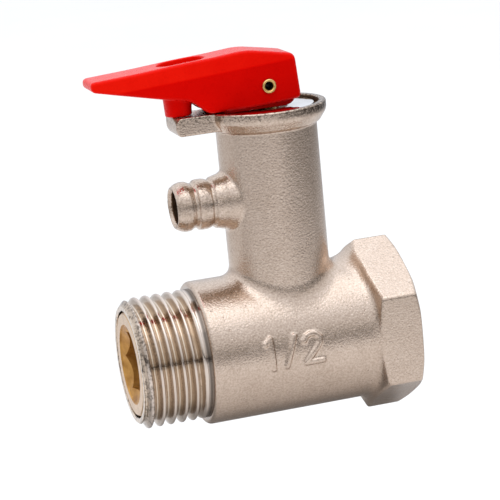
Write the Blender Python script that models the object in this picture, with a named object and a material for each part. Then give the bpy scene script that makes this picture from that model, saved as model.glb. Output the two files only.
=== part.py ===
"""Spring-loaded pressure relief valve for a storage water heater, G 1/2.

The row frame sits at the centre of the heater-side face: +X leaves the valve through the
heater socket, +Z runs up the relief tower, and the supply thread points along -X.
"""

import math

import bmesh
import bpy
from mathutils import Matrix, Vector

MM = 0.001

# ---- lengths along the pipe, measured from the heater-side face --------------------
TOWER_X = -19.05 * MM
SUPPLY_END_X = -45.25 * MM
THREAD_STOP_X = -35.0 * MM
COLLAR_X = -34.2 * MM
TUBE_START_X = -33.25 * MM
HEX_START_X = -7.9 * MM
HEX_STEP_X = -7.0 * MM
HEX_STEP_RADIUS = 12.05 * MM
HEX_FULL_X = -6.0 * MM
HEX_CHAMFER_X = -0.75 * MM

# ---- pipe body ---------------------------------------------------------------------
TUBE_RADIUS = 11.56 * MM
COLLAR_RADIUS = 10.9 * MM
HEX_FLATS = 24.8 * MM
HEX_CORNER_RADIUS = HEX_FLATS / 2 / math.cos(math.radians(30))
HEX_FACE_RADIUS = 12.7 * MM

# ---- G 1/2 pipe thread -------------------------------------------------------------
THREAD_START_TURN = 0.43
THREAD_PITCH = 1.814 * MM
THREAD_MAJOR_RADIUS = 10.4775 * MM
THREAD_MINOR_RADIUS = 9.3155 * MM
THREAD_LEAD_RADIUS = 9.37 * MM
THREAD_FLAT_SHARE = 0.30
SOCKET_DEPTH = 14.0 * MM

# ---- bores -------------------------------------------------------------------------
BUSH_BORE_RADIUS = 8.6 * MM
BUSH_SHOULDER_X = -38.0 * MM
CHECK_BORE_RADIUS = 7.4 * MM
CHECK_SHOULDER_X = -25.05 * MM
CHAMBER_RADIUS = 6.4 * MM
PORT_RADIUS = 3.0 * MM
TOWER_BORE_RADIUS = 6.6 * MM
TOWER_FLOOR_Z = 12.0 * MM
SEAT_LIP_RADIUS = 3.9 * MM
SEAT_LIP_TOP_Z = 12.8 * MM

# ---- tower, flange and lug ---------------------------------------------------------
TOWER_RADIUS = 8.05 * MM
FLANGE_RADIUS = 9.75 * MM
FLANGE_BOTTOM_Z = 35.2 * MM
FLANGE_KNEE_Z = 37.0 * MM
FLANGE_TOP_Z = 38.5 * MM
RECESS_RADIUS = 8.65 * MM
RECESS_FLOOR_Z = 37.4 * MM
DISC_RADIUS = 7.9 * MM
DISC_TOP_Z = 38.2 * MM
LUG_END_X = TOWER_X - 15.3 * MM
LUG_HALF_WIDTH = 3.3 * MM
LUG_CORNER = 0.8 * MM
LUG_HOLE_RADIUS = 0.85 * MM

# ---- discharge barb ----------------------------------------------------------------
BARB_Z = 24.0 * MM
BARB_BORE_RADIUS = 2.65 * MM
BARB_END_X = TOWER_X - 16.5 * MM

# ---- lever and its pin -------------------------------------------------------------
PIVOT_Z = 41.75 * MM
LEVER_HALF_WIDTH = 3.8 * MM
FORK_HALF_GAP = 2.25 * MM
LEG_X = TOWER_X - 13.95 * MM
PIN_RADIUS = 0.85 * MM
PIN_BORE_RADIUS = 0.6 * MM
PIN_RIM_RADIUS = 1.2 * MM
PIN_HOLE_RADIUS = 1.0 * MM

# ---- relief stem and spring --------------------------------------------------------
STEM_RADIUS = 1.9 * MM
STEM_BOTTOM_Z = 18.1 * MM
EYE_RADIUS = 2.7 * MM
GLAND_RADIUS = 6.3 * MM
GLAND_BOTTOM_Z = 30.7 * MM
GLAND_TOP_Z = 36.8 * MM
STEM_HOLE_RADIUS = 2.25 * MM
RELIEF_SPRING_RADIUS = 4.6 * MM
RELIEF_WIRE_RADIUS = 0.6 * MM
RELIEF_SPRING_LOW_Z = 18.5 * MM
RELIEF_SPRING_HIGH_Z = 28.7 * MM
RELIEF_SPRING_TURNS = 5

# ---- check valve -------------------------------------------------------------------
BUSH_RADIUS = 8.35 * MM
BUSH_OUTER_X = -45.2 * MM
BUSH_INNER_X = -39.4 * MM
BUSH_SEAT_X = -38.7 * MM
HEX_SOCKET_FLATS = 9.0 * MM
CHECK_SPRING_RADIUS = 4.3 * MM
CHECK_WIRE_RADIUS = 0.4 * MM
CHECK_SPRING_LOW_X = -34.9 * MM
CHECK_SPRING_HIGH_X = -28.0 * MM
CHECK_SPRING_TURNS = 4

# ---- mesh fineness -----------------------------------------------------------------
ROUND = 40
THREAD_SEGMENTS = 30
MALE_ROWS_PER_TURN = 5
FEMALE_ROWS_PER_TURN = 4
SMALL_ROUND = 24
WIRE_SIDES = 8
COIL_STEPS = 14
SMOOTH_ANGLE = math.radians(32)


def clear_scene():
    for obj in list(bpy.data.objects):
        bpy.data.objects.remove(obj, do_unlink=True)


def make_material(name, color, metallic, roughness):
    mat = bpy.data.materials.new(name)
    mat.use_nodes = True
    shader = mat.node_tree.nodes["Principled BSDF"]
    shader.inputs["Base Color"].default_value = (*color, 1.0)
    shader.inputs["Metallic"].default_value = metallic
    shader.inputs["Roughness"].default_value = roughness
    mat.diffuse_color = (*color, 1.0)
    return mat


def new_object(name, bm):
    bmesh.ops.recalc_face_normals(bm, faces=bm.faces)
    mesh = bpy.data.meshes.new(name)
    bm.to_mesh(mesh)
    bm.free()
    obj = bpy.data.objects.new(name, mesh)
    bpy.context.scene.collection.objects.link(obj)
    return obj


def place(axis, along, radius, angle):
    """A point at that distance and angle about a line through the origin along axis."""
    a = radius * math.cos(angle)
    b = radius * math.sin(angle)
    if axis == "X":
        return Vector((along, a, b))
    if axis == "Y":
        return Vector((b, along, a))
    return Vector((a, b, along))


def join_rows(bm, first, second):
    count = len(first)
    for i in range(count):
        j = (i + 1) % count
        bm.faces.new((first[i], first[j], second[j], second[i]))


def lathe(name, axis, profile, centre=(0, 0, 0), ring=False, segments=ROUND):
    """Turns (along, radius) points about axis. A ring closes on itself; a solid is capped."""
    bm = bmesh.new()
    rows = []
    shift = Vector(centre)
    for along, radius in profile:
        row = []
        for i in range(segments):
            row.append(bm.verts.new(place(axis, along, radius, math.tau * i / segments) + shift))
        rows.append(row)
    for first, second in zip(rows, rows[1:]):
        join_rows(bm, first, second)
    if ring:
        join_rows(bm, rows[-1], rows[0])
    else:
        bm.faces.new(rows[0])
        bm.faces.new(rows[-1])
    return new_object(name, bm)


def prism(name, axis, outline, low, high):
    """Extrudes a closed outline along axis. The outline's pairs are the other two axes in order."""
    bm = bmesh.new()
    rows = []
    for along in (low, high):
        row = []
        for u, v in outline:
            if axis == "X":
                point = (along, u, v)
            elif axis == "Y":
                point = (u, along, v)
            else:
                point = (u, v, along)
            row.append(bm.verts.new(point))
        rows.append(row)
    join_rows(bm, rows[0], rows[1])
    bm.faces.new(rows[0])
    bm.faces.new(rows[1])
    return new_object(name, bm)


def combine(target, tool, operation):
    """Runs an exact boolean, keeps its result as the target's mesh, and removes the tool."""
    tool.hide_render = True
    tool.display_type = "WIRE"
    modifier = target.modifiers.new("combine", "BOOLEAN")
    modifier.operation = operation
    modifier.solver = "EXACT"
    modifier.object = tool
    bpy.context.view_layer.update()
    depsgraph = bpy.context.evaluated_depsgraph_get()
    result = bpy.data.meshes.new_from_object(target.evaluated_get(depsgraph))
    target.modifiers.remove(modifier)
    target.data = result
    bpy.data.objects.remove(tool, do_unlink=True)
    return target


def finish_part(obj, name, mat, smooth=True):
    obj.name = name
    obj.data.name = name
    obj.data.materials.clear()
    obj.data.materials.append(mat)
    for face in obj.data.polygons:
        face.use_smooth = smooth
        face.material_index = 0
    if smooth:
        obj.data.set_sharp_from_angle(angle=SMOOTH_ANGLE)
    return obj


def arc(centre, radius, start, stop, steps):
    """Points on an arc, in degrees, in the plane of an outline."""
    points = []
    for i in range(steps + 1):
        angle = math.radians(start + (stop - start) * i / steps)
        points.append((centre[0] + radius * math.cos(angle), centre[1] + radius * math.sin(angle)))
    return points


def hexagon(flats):
    """A hexagon about the origin with two flats facing the first axis."""
    corner = flats / 2 / math.cos(math.radians(30))
    points = []
    for i in range(6):
        angle = math.radians(30 + 60 * i)
        points.append((corner * math.cos(angle), corner * math.sin(angle)))
    return points


def thread_radius(phase, minor, major):
    """Radius across one pitch: a flat crest, a straight flank, a flat root, a straight flank."""
    phase = phase % 1.0
    rise = (1.0 - 2 * THREAD_FLAT_SHARE * 0.5) / 2
    distance = abs(phase - 0.5)
    crest = THREAD_FLAT_SHARE * 0.25
    if distance <= crest:
        share = 1.0
    elif distance >= crest + rise:
        share = 0.0
    else:
        share = 1.0 - (distance - crest) / rise
    return minor + (major - minor) * share


def pipe_outline(x, angle):
    """Outer radius of the pipe at x: lead chamfer, thread, run-out, collar and plain tube."""
    if x >= TUBE_START_X:
        return TUBE_RADIUS
    if x >= COLLAR_X:
        share = (x - COLLAR_X) / (TUBE_START_X - COLLAR_X)
        return COLLAR_RADIUS + (TUBE_RADIUS - COLLAR_RADIUS) * math.sin(share * math.pi / 2)
    phase = (x - SUPPLY_END_X) / THREAD_PITCH - angle / math.tau + THREAD_START_TURN
    radius = thread_radius(phase, THREAD_MINOR_RADIUS, THREAD_MAJOR_RADIUS)
    lead = THREAD_LEAD_RADIUS + (x - SUPPLY_END_X)
    radius = min(radius, lead)
    run_out = (x - THREAD_STOP_X + THREAD_PITCH) / THREAD_PITCH
    if run_out > 0:
        fade = min(1.0, run_out)
        radius = radius + (THREAD_MAJOR_RADIUS - radius) * fade
    return radius


def pipe_shell():
    """The pipe from the supply end to the hexagon, with its helical outer thread."""
    bm = bmesh.new()
    step = THREAD_PITCH / MALE_ROWS_PER_TURN
    stations = []
    x = SUPPLY_END_X
    while x < THREAD_STOP_X:
        stations.append(x)
        x += step
    stations += [THREAD_STOP_X, COLLAR_X - 0.02 * MM, COLLAR_X]
    for share in (0.25, 0.55, 1.0):
        stations.append(COLLAR_X + (TUBE_START_X - COLLAR_X) * share)
    stations.append(HEX_START_X + 0.5 * MM)
    rows = []
    for x in stations:
        row = []
        for i in range(THREAD_SEGMENTS):
            angle = math.tau * i / THREAD_SEGMENTS
            row.append(bm.verts.new(place("X", x, pipe_outline(x, angle), angle)))
        rows.append(row)
    for first, second in zip(rows, rows[1:]):
        join_rows(bm, first, second)
    bm.faces.new(rows[0])
    bm.faces.new(rows[-1])
    return new_object("pipe_shell", bm)


def hex_end():
    """The spanner hexagon, with the steep step behind it and the chamfer on its face."""
    outline = hexagon(HEX_FLATS)
    nut = prism("nut", "X", outline, HEX_START_X, 0.0)
    over = HEX_CORNER_RADIUS + 0.2 * MM
    profile = [
        (HEX_START_X - 1.0 * MM, TUBE_RADIUS - 0.4 * MM),
        (HEX_START_X, TUBE_RADIUS - 0.02 * MM),
        (HEX_STEP_X, HEX_STEP_RADIUS),
        (HEX_FULL_X, over),
        (HEX_CHAMFER_X, over),
        (0.0, HEX_FACE_RADIUS),
        (1.0 * MM, HEX_FACE_RADIUS - 1.0 * MM),
    ]
    envelope = lathe("envelope", "X", profile, segments=48)
    return combine(nut, envelope, "INTERSECT")


def tower():
    top_edge = 0.3 * MM
    profile = [
        (2.0 * MM, TOWER_RADIUS),
        (34.3 * MM, TOWER_RADIUS),
        (34.9 * MM, TOWER_RADIUS + 0.2 * MM),
        (FLANGE_BOTTOM_Z, TOWER_RADIUS + 0.6 * MM),
        (FLANGE_KNEE_Z, FLANGE_RADIUS),
        (FLANGE_TOP_Z - top_edge, FLANGE_RADIUS),
        (FLANGE_TOP_Z, FLANGE_RADIUS - top_edge),
    ]
    return lathe("tower", "Z", profile, centre=(TOWER_X, 0, 0))


def lug():
    """The ear beside the flange that the lever's leg stands on."""
    low = FLANGE_BOTTOM_Z + 0.1 * MM
    corner = (LUG_END_X + LUG_CORNER, low + LUG_CORNER)
    outline = arc(corner, LUG_CORNER, 180, 270, 5)
    outline += [(TOWER_X - 6.0 * MM, low), (TOWER_X - 6.0 * MM, FLANGE_TOP_Z), (LUG_END_X, FLANGE_TOP_Z)]
    ear = prism("ear", "Y", outline, -LUG_HALF_WIDTH, LUG_HALF_WIDTH)
    hole = lathe("hole", "Z", [(30 * MM, LUG_HOLE_RADIUS), (40 * MM, LUG_HOLE_RADIUS)],
                 centre=(LEG_X, 0, 0), segments=SMALL_ROUND)
    return combine(ear, hole, "DIFFERENCE")


def barb():
    end = BARB_END_X
    profile = [
        (end, 3.15 * MM),
        (end + 0.35 * MM, 3.45 * MM),
        (end + 1.2 * MM, 3.95 * MM),
        (end + 1.9 * MM, 4.0 * MM),
        (end + 3.1 * MM, 3.5 * MM),
        (end + 3.7 * MM, 4.0 * MM),
        (end + 5.3 * MM, 3.95 * MM),
        (end + 5.9 * MM, 3.7 * MM),
        (end + 6.5 * MM, 4.15 * MM),
        (end + 8.6 * MM, 4.25 * MM),
        (end + 10.5 * MM, 4.5 * MM),
    ]
    return lathe("barb", "X", profile, centre=(0, 0, BARB_Z), segments=28)


def supply_bore():
    """Everything cut along the pipe's axis apart from the heater thread."""
    profile = [
        (SUPPLY_END_X - 2 * MM, BUSH_BORE_RADIUS),
        (BUSH_SHOULDER_X, BUSH_BORE_RADIUS),
        (BUSH_SHOULDER_X, CHECK_BORE_RADIUS),
        (CHECK_SHOULDER_X, CHECK_BORE_RADIUS),
        (CHECK_SHOULDER_X, CHAMBER_RADIUS),
        (-SOCKET_DEPTH + 0.1 * MM, CHAMBER_RADIUS),
    ]
    return lathe("supply_bore", "X", profile)


def socket_bore():
    """The heater socket with its helical inner thread and a lead-in at the mouth."""
    bm = bmesh.new()
    step = THREAD_PITCH / FEMALE_ROWS_PER_TURN
    stations = [-SOCKET_DEPTH, -SOCKET_DEPTH + 0.9 * MM]
    x = -SOCKET_DEPTH + 0.9 * MM + step
    while x < -0.2 * MM:
        stations.append(x)
        x += step
    stations += [0.0, 1.0 * MM]
    rows = []
    for x in stations:
        row = []
        for i in range(THREAD_SEGMENTS):
            angle = math.tau * i / THREAD_SEGMENTS
            phase = x / THREAD_PITCH - angle / math.tau
            radius = thread_radius(phase, THREAD_MINOR_RADIUS, THREAD_MAJOR_RADIUS)
            if x < -SOCKET_DEPTH + 1.0 * MM:
                radius = THREAD_MAJOR_RADIUS
            radius = max(radius, THREAD_MAJOR_RADIUS + 0.4 * MM + x)
            row.append(bm.verts.new(place("X", x, radius, angle)))
        rows.append(row)
    for first, second in zip(rows, rows[1:]):
        join_rows(bm, first, second)
    bm.faces.new(rows[0])
    bm.faces.new(rows[-1])
    return new_object("socket_bore", bm)


def tower_bore():
    profile = [
        (0.0, PORT_RADIUS),
        (SEAT_LIP_TOP_Z, PORT_RADIUS),
        (SEAT_LIP_TOP_Z, SEAT_LIP_RADIUS),
        (TOWER_FLOOR_Z, SEAT_LIP_RADIUS + 0.2 * MM),
        (TOWER_FLOOR_Z, TOWER_BORE_RADIUS),
        (RECESS_FLOOR_Z, TOWER_BORE_RADIUS),
        (RECESS_FLOOR_Z, RECESS_RADIUS),
        (FLANGE_TOP_Z + 2 * MM, RECESS_RADIUS),
    ]
    return lathe("tower_bore", "Z", profile, centre=(TOWER_X, 0, 0))


def barb_bore():
    profile = [
        (BARB_END_X - 1 * MM, BARB_BORE_RADIUS + 0.15 * MM),
        (BARB_END_X, BARB_BORE_RADIUS + 0.15 * MM),
        (BARB_END_X + 0.5 * MM, BARB_BORE_RADIUS),
        (TOWER_X - 5.5 * MM, BARB_BORE_RADIUS),
    ]
    return lathe("barb_bore", "X", profile, centre=(0, 0, BARB_Z), segments=SMALL_ROUND)


def build_valve_body():
    body = pipe_shell()
    for piece in (hex_end(), tower(), lug(), barb()):
        combine(body, piece, "UNION")
    for cutter in (supply_bore(), socket_bore(), tower_bore(), barb_bore()):
        combine(body, cutter, "DIFFERENCE")
    mat = make_material("nickel_plate", (0.62, 0.57, 0.53), 1.0, 0.42)
    return finish_part(body, "valve_body", mat)


def build_inlet_bush():
    """The brass screw-in bush: a coned mouth, a hexagon socket and the check valve's seat lip."""
    profile = [
        (BUSH_OUTER_X, BUSH_RADIUS - 0.25 * MM),
        (BUSH_OUTER_X + 0.25 * MM, BUSH_RADIUS),
        (BUSH_INNER_X, BUSH_RADIUS),
        (BUSH_INNER_X, 5.6 * MM),
        (BUSH_SEAT_X, 5.3 * MM),
        (BUSH_SEAT_X, 4.5 * MM),
    ]
    bush = lathe("bush", "X", profile)
    turned = [(v, u) for u, v in reversed(hexagon(HEX_SOCKET_FLATS))]
    socket = prism("socket", "X", turned, BUSH_OUTER_X - 1 * MM, BUSH_INNER_X - 1.6 * MM)
    combine(bush, socket, "DIFFERENCE")
    throat = lathe("throat", "X", [(BUSH_INNER_X - 2.5 * MM, 4.45 * MM), (BUSH_SEAT_X + 1 * MM, 4.45 * MM)],
                   segments=28)
    combine(bush, throat, "DIFFERENCE")
    mouth = lathe("mouth", "X", [(BUSH_OUTER_X - 0.5 * MM, 6.9 * MM), (BUSH_OUTER_X + 1.9 * MM, 4.5 * MM)])
    combine(bush, mouth, "DIFFERENCE")
    return finish_part(bush, "inlet_bush", make_material("brass", (0.80, 0.58, 0.30), 1.0, 0.3))


def ring_part(name, axis, low, high, inner, outer, mat, centre=(0, 0, 0), segments=ROUND):
    profile = [(low, inner), (low, outer), (high, outer), (high, inner)]
    ring = lathe(name, axis, profile, centre=centre, ring=True, segments=segments)
    return finish_part(ring, name, mat)


def build_bush_gasket():
    mat = make_material("gasket_fibre", (0.22, 0.20, 0.18), 0.0, 0.8)
    return ring_part("bush_gasket", "X", -39.15 * MM, -38.25 * MM, 6.75 * MM, 8.3 * MM, mat)


def build_check_poppet():
    """The check valve's plastic disc with a nose through the seal and a guide stem behind."""
    profile = [
        (-40.9 * MM, 0.9 * MM),
        (-40.6 * MM, 1.2 * MM),
        (-36.7 * MM, 1.2 * MM),
        (-36.7 * MM, 6.2 * MM),
        (-35.6 * MM, 6.2 * MM),
        (-35.6 * MM, 3.4 * MM),
        (-34.4 * MM, 3.2 * MM),
        (-34.4 * MM, 1.5 * MM),
        (-23.9 * MM, 1.5 * MM),
        (-23.5 * MM, 1.1 * MM),
    ]
    poppet = lathe("poppet", "X", profile, segments=32)
    return finish_part(poppet, "check_poppet", make_material("acetal_white", (0.85, 0.84, 0.80), 0.0, 0.4))


def build_check_seal():
    mat = make_material("check_rubber", (0.03, 0.03, 0.03), 0.0, 0.6)
    return ring_part("check_seal", "X", -38.4 * MM, -37.0 * MM, 1.5 * MM, 6.0 * MM, mat, segments=32)


def build_check_washer():
    mat = make_material("washer_steel", (0.66, 0.66, 0.65), 1.0, 0.35)
    return ring_part("check_washer", "X", -39.4 * MM, -38.7 * MM, 1.5 * MM, 3.6 * MM, mat, segments=28)


def build_check_guide():
    """The spider that carries the spring's far end and guides the poppet's stem."""
    inner = CHECK_SHOULDER_X - 0.25 * MM
    profile = [
        (inner - 1.5 * MM, 2.0 * MM),
        (inner - 1.5 * MM, 7.1 * MM),
        (inner, 7.1 * MM),
        (inner, 2.0 * MM),
    ]
    guide = lathe("guide", "X", profile, ring=True, segments=32)
    for i in range(4):
        turn = math.radians(45 + 90 * i)
        centre = (0.0, 4.4 * MM * math.cos(turn), 4.4 * MM * math.sin(turn))
        window = lathe("window", "X", [(inner - 3 * MM, 1.7 * MM), (inner + 2 * MM, 1.7 * MM)],
                       centre=centre, segments=16)
        combine(guide, window, "DIFFERENCE")
    return finish_part(guide, "check_guide", make_material("guide_acetal", (0.80, 0.79, 0.74), 0.0, 0.45))


def coil(name, axis, coil_radius, wire_radius, low, high, turns, centre=(0, 0, 0)):
    """A closed-ended compression spring as one swept tube."""
    bm = bmesh.new()
    count = turns * COIL_STEPS
    rows = []
    origin = Vector(centre)
    for i in range(count + 1):
        share = i / count
        eased = share - math.sin(math.tau * share) / (2.6 * math.pi)
        along = low + (high - low) * eased
        angle = math.tau * turns * share
        out = place(axis, 0.0, 1.0, angle)
        up = place(axis, 1.0, 0.0, 0.0)
        row = []
        for k in range(WIRE_SIDES):
            side = math.tau * k / WIRE_SIDES
            point = place(axis, along, coil_radius, angle)
            point += out * (wire_radius * math.cos(side)) + up * (wire_radius * math.sin(side))
            row.append(bm.verts.new(point + origin))
        rows.append(row)
    for first, second in zip(rows, rows[1:]):
        join_rows(bm, first, second)
    bm.faces.new(rows[0])
    bm.faces.new(rows[-1])
    return new_object(name, bm)


def build_check_spring():
    spring = coil("check_spring", "X", CHECK_SPRING_RADIUS, CHECK_WIRE_RADIUS, CHECK_SPRING_LOW_X,
                  CHECK_SPRING_HIGH_X, CHECK_SPRING_TURNS)
    return finish_part(spring, "check_spring", make_material("check_spring_steel", (0.6, 0.6, 0.6), 1.0, 0.3))


def build_relief_seal():
    mat = make_material("seal_rubber", (0.04, 0.04, 0.04), 0.0, 0.6)
    return ring_part("relief_seal", "Z", 13.1 * MM, 14.6 * MM, 1.5 * MM, 5.0 * MM, mat,
                     centre=(TOWER_X, 0, 0), segments=32)


def build_seal_screw():
    profile = [
        (11.6 * MM, 1.9 * MM),
        (11.8 * MM, 2.2 * MM),
        (12.8 * MM, 2.2 * MM),
        (12.8 * MM, 1.2 * MM),
        (16.6 * MM, 1.2 * MM),
    ]
    screw = lathe("screw", "Z", profile, centre=(TOWER_X, 0, 0), segments=SMALL_ROUND)
    return finish_part(screw, "seal_screw", make_material("screw_brass", (0.78, 0.57, 0.30), 1.0, 0.32))


def build_seal_holder():
    """The brass cup that holds the seal below and centres the spring above."""
    profile = [
        (13.5 * MM, 5.3 * MM),
        (13.5 * MM, 5.9 * MM),
        (17.6 * MM, 5.9 * MM),
        (17.6 * MM, 3.6 * MM),
        (20.6 * MM, 3.4 * MM),
        (20.6 * MM, 2.2 * MM),
        (17.8 * MM, 2.2 * MM),
        (17.8 * MM, 1.5 * MM),
        (14.9 * MM, 1.5 * MM),
        (14.9 * MM, 5.3 * MM),
    ]
    holder = lathe("holder", "Z", profile, centre=(TOWER_X, 0, 0), ring=True, segments=32)
    return finish_part(holder, "seal_holder", make_material("holder_brass", (0.80, 0.60, 0.33), 1.0, 0.35))


def build_lift_stem():
    """The lifting rod, with the round eye that the lever's pin passes through."""
    profile = [(STEM_BOTTOM_Z, STEM_RADIUS), (PIVOT_Z, STEM_RADIUS)]
    stem = lathe("stem", "Z", profile, centre=(TOWER_X, 0, 0), segments=SMALL_ROUND)
    edge = 0.2 * MM
    half = STEM_RADIUS - 0.02 * MM
    eye = lathe("eye", "Y", [(-half, EYE_RADIUS - edge), (-half + edge, EYE_RADIUS), (half - edge, EYE_RADIUS),
                             (half, EYE_RADIUS - edge)], centre=(TOWER_X, 0, PIVOT_Z), segments=28)
    combine(stem, eye, "UNION")
    hole = lathe("hole", "Y", [(-4 * MM, PIN_HOLE_RADIUS), (4 * MM, PIN_HOLE_RADIUS)],
                 centre=(TOWER_X, 0, PIVOT_Z), segments=20)
    combine(stem, hole, "DIFFERENCE")
    return finish_part(stem, "lift_stem", make_material("stem_brass", (0.76, 0.58, 0.34), 1.0, 0.3))


def build_relief_spring():
    spring = coil("relief_spring", "Z", RELIEF_SPRING_RADIUS, RELIEF_WIRE_RADIUS, RELIEF_SPRING_LOW_Z,
                  RELIEF_SPRING_HIGH_Z, RELIEF_SPRING_TURNS, centre=(TOWER_X, 0, 0))
    return finish_part(spring, "relief_spring", make_material("spring_steel", (0.55, 0.55, 0.56), 1.0, 0.3))


def build_spring_washer():
    mat = make_material("spring_washer_steel", (0.62, 0.62, 0.62), 1.0, 0.35)
    return ring_part("spring_washer", "Z", 29.6 * MM, 30.4 * MM, STEM_HOLE_RADIUS, 6.1 * MM, mat,
                     centre=(TOWER_X, 0, 0))


def build_spring_gland():
    """The screwed plug that sets the spring, with an O-ring groove below and a hexagon above."""
    profile = [
        (GLAND_BOTTOM_Z, 3.95 * MM),
        (GLAND_BOTTOM_Z, GLAND_RADIUS - 0.3 * MM),
        (GLAND_BOTTOM_Z + 0.3 * MM, GLAND_RADIUS),
        (GLAND_TOP_Z, GLAND_RADIUS),
        (GLAND_TOP_Z, STEM_HOLE_RADIUS),
        (GLAND_BOTTOM_Z + 1.9 * MM, STEM_HOLE_RADIUS),
        (GLAND_BOTTOM_Z + 1.9 * MM, 3.95 * MM),
    ]
    gland = lathe("gland", "Z", profile, centre=(TOWER_X, 0, 0), ring=True)
    outline = [(TOWER_X + u, v) for u, v in hexagon(7.0 * MM)]
    socket = prism("socket", "Z", outline, GLAND_TOP_Z - 2.4 * MM, GLAND_TOP_Z + 1 * MM)
    combine(gland, socket, "DIFFERENCE")
    return finish_part(gland, "spring_gland", make_material("gland_brass", (0.79, 0.59, 0.32), 1.0, 0.35))


def build_stem_o_ring():
    sides = 10
    profile = []
    for i in range(sides):
        angle = math.tau * i / sides
        profile.append((GLAND_BOTTOM_Z + 0.95 * MM + 0.7 * MM * math.sin(angle), 3.1 * MM + 0.7 * MM * math.cos(angle)))
    ring = lathe("o_ring", "Z", profile, centre=(TOWER_X, 0, 0), ring=True, segments=28)
    return finish_part(ring, "stem_o_ring", make_material("o_ring_rubber", (0.02, 0.02, 0.02), 0.0, 0.5))


def build_cover_disc():
    edge = 0.15 * MM
    profile = [
        (RECESS_FLOOR_Z + 0.25 * MM, STEM_HOLE_RADIUS),
        (RECESS_FLOOR_Z + 0.25 * MM, DISC_RADIUS),
        (DISC_TOP_Z - edge, DISC_RADIUS),
        (DISC_TOP_Z, DISC_RADIUS - edge),
        (DISC_TOP_Z, STEM_HOLE_RADIUS),
    ]
    disc = lathe("disc", "Z", profile, centre=(TOWER_X, 0, 0), ring=True)
    return finish_part(disc, "cover_disc", make_material("polished_steel", (0.75, 0.76, 0.78), 1.0, 0.1))


def lever_outline():
    """The lever's side view at rest, in (x from the tower's axis, z)."""
    outline = arc((4.15 * MM, 40.05 * MM), 0.9 * MM, -8, -86, 5)
    outline += [(-2.3 * MM, 38.72 * MM), (-9.2 * MM, 38.6 * MM), (-9.9 * MM, 38.75 * MM)]
    outline += [(-12.6 * MM, 40.95 * MM), (-16.6 * MM, 41.75 * MM)]
    outline += [(-27.6 * MM, 44.3 * MM), (-28.0 * MM, 44.75 * MM), (-28.0 * MM, 45.35 * MM), (-27.5 * MM, 45.85 * MM)]
    outline += [(-20.0 * MM, 46.35 * MM), (-13.7 * MM, 46.9 * MM), (-8.0 * MM, 47.25 * MM)]
    outline += [(-4.0 * MM, 47.6 * MM), (-2.4 * MM, 47.6 * MM), (1.0 * MM, 47.0 * MM)]
    outline += arc((3.55 * MM, 45.35 * MM), 1.2 * MM, 76, 8, 4)
    return [(TOWER_X + x, z) for x, z in outline]


def build_lever():
    """The moulded lever: a handle, a fork over the stem's eye and a leg that stands on the lug."""
    lever = prism("lever", "Y", lever_outline(), -LEVER_HALF_WIDTH, LEVER_HALF_WIDTH)
    leg = lathe("leg", "Z", [(38.55 * MM, 2.1 * MM), (42.5 * MM, 2.3 * MM)], centre=(LEG_X, 0, 0),
                segments=SMALL_ROUND)
    combine(lever, leg, "UNION")
    slot = [(6.5 * MM, 37.0 * MM), (6.5 * MM, 44.9 * MM), (0.0, 44.95 * MM), (-11.4 * MM, 43.6 * MM),
            (-11.4 * MM, 37.0 * MM)]
    outline = [(TOWER_X + x, z) for x, z in slot]
    combine(lever, prism("slot", "Y", outline, -FORK_HALF_GAP, FORK_HALF_GAP), "DIFFERENCE")
    half = 2.2 * MM
    oval = arc((-11.3 * MM, 0.0), half, -90, 90, 8) + arc((-14.4 * MM, 0.0), half, 90, 270, 8)
    outline = [(TOWER_X + x, y) for x, y in oval]
    combine(lever, prism("oval", "Z", outline, 44.9 * MM, 49.0 * MM), "DIFFERENCE")
    bore = lathe("bore", "Z", [(37.0 * MM, 1.25 * MM), (48.0 * MM, 1.25 * MM)], centre=(LEG_X, 0, 0),
                 segments=20)
    combine(lever, bore, "DIFFERENCE")
    hole = lathe("hole", "Y", [(-6 * MM, PIN_HOLE_RADIUS), (6 * MM, PIN_HOLE_RADIUS)],
                 centre=(TOWER_X, 0, PIVOT_Z), segments=20)
    combine(lever, hole, "DIFFERENCE")
    return finish_part(lever, "lever", make_material("red_plastic", (0.72, 0.02, 0.015), 0.0, 0.25))


def build_pivot_pin():
    """The hollow rivet: a tube rolled over at both ends outside the fork."""
    face = LEVER_HALF_WIDTH + 0.1 * MM
    end = face + 0.35 * MM
    profile = [
        (-end, PIN_BORE_RADIUS + 0.1 * MM),
        (-end, PIN_RIM_RADIUS - 0.2 * MM),
        (-face, PIN_RIM_RADIUS),
        (-face, PIN_RADIUS),
        (face, PIN_RADIUS),
        (face, PIN_RIM_RADIUS),
        (end, PIN_RIM_RADIUS - 0.2 * MM),
        (end, PIN_BORE_RADIUS + 0.1 * MM),
        (face, PIN_BORE_RADIUS),
        (-face, PIN_BORE_RADIUS),
    ]
    pin = lathe("pin", "Y", profile, centre=(TOWER_X, 0, PIVOT_Z), ring=True, segments=20)
    return finish_part(pin, "pivot_pin", make_material("pin_brass", (0.80, 0.56, 0.22), 1.0, 0.3))


def joint_empty(name, location, parent=None):
    """An empty on a joint's axis, for the pieces that move about it."""
    empty = bpy.data.objects.new(name, None)
    empty.empty_display_size = 5 * MM
    empty.location = location
    bpy.context.scene.collection.objects.link(empty)
    if parent:
        empty.parent = parent
        empty.location = Vector(location) - parent.location
    return empty


def hang_on(empty, point, parts):
    """Parents parts to the empty at point, keeping them where they are."""
    for obj in parts:
        obj.data.transform(Matrix.Translation(-Vector(point)))
        obj.parent = empty


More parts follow.
